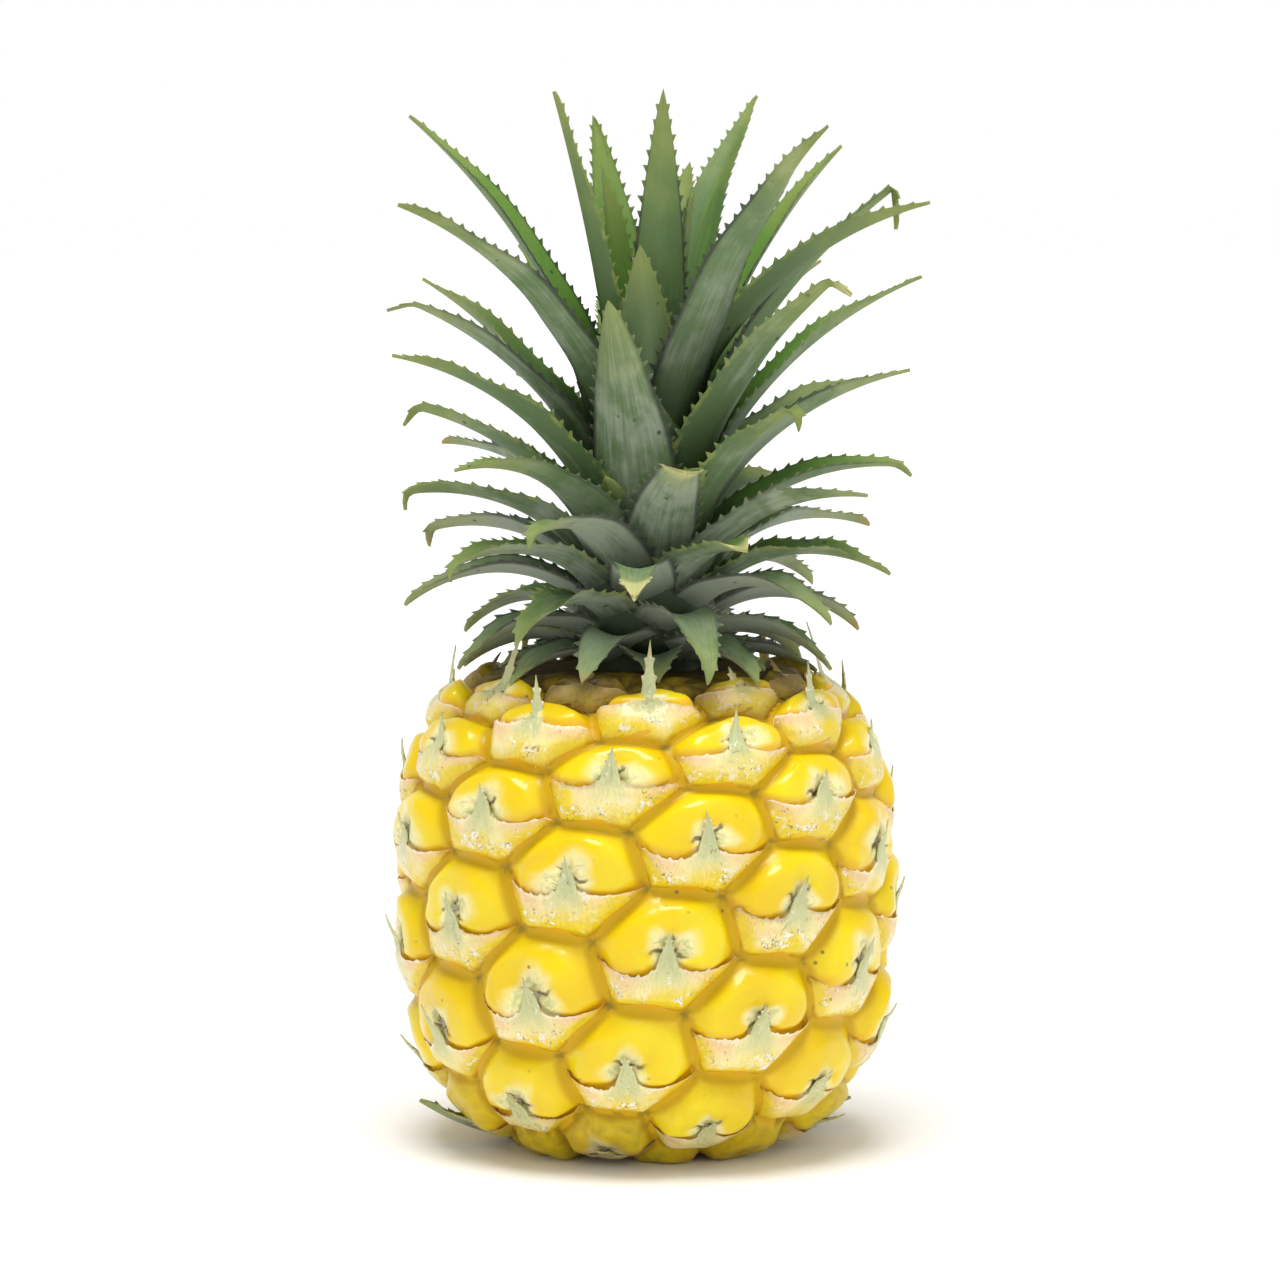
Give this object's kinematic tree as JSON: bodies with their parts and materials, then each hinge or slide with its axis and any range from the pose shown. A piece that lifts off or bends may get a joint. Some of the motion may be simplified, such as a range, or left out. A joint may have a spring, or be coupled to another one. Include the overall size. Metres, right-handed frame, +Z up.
{
  "type": "pineapple",
  "caption": "Small ripe pineapple: barrel-shaped fruit covered in domed, pointed-bract eyes, with a full crown of spiny arching leaves, standing on its base.",
  "frame": {"origin": "centre of the cut stalk's face, level with the surface the fruit stands on", "axes": "+Z up through the crown, -Y towards the viewer of the front, +X to that viewer's right"},
  "size_m": [0.1018, 0.1, 0.2],
  "materials": {
    "fruit": "glossy golden-yellow rind with duller, paler bracts and ochre grooves",
    "stalk": "dry, fibrous cut face",
    "leaf": "stiff grey-green leaves with a pale bloom, satin on top"
  },
  "bodies": {
    "root": {"fruit": "fruit", "stalk": "stalk", "crown": "leaf"}
  },
  "joints": []
}
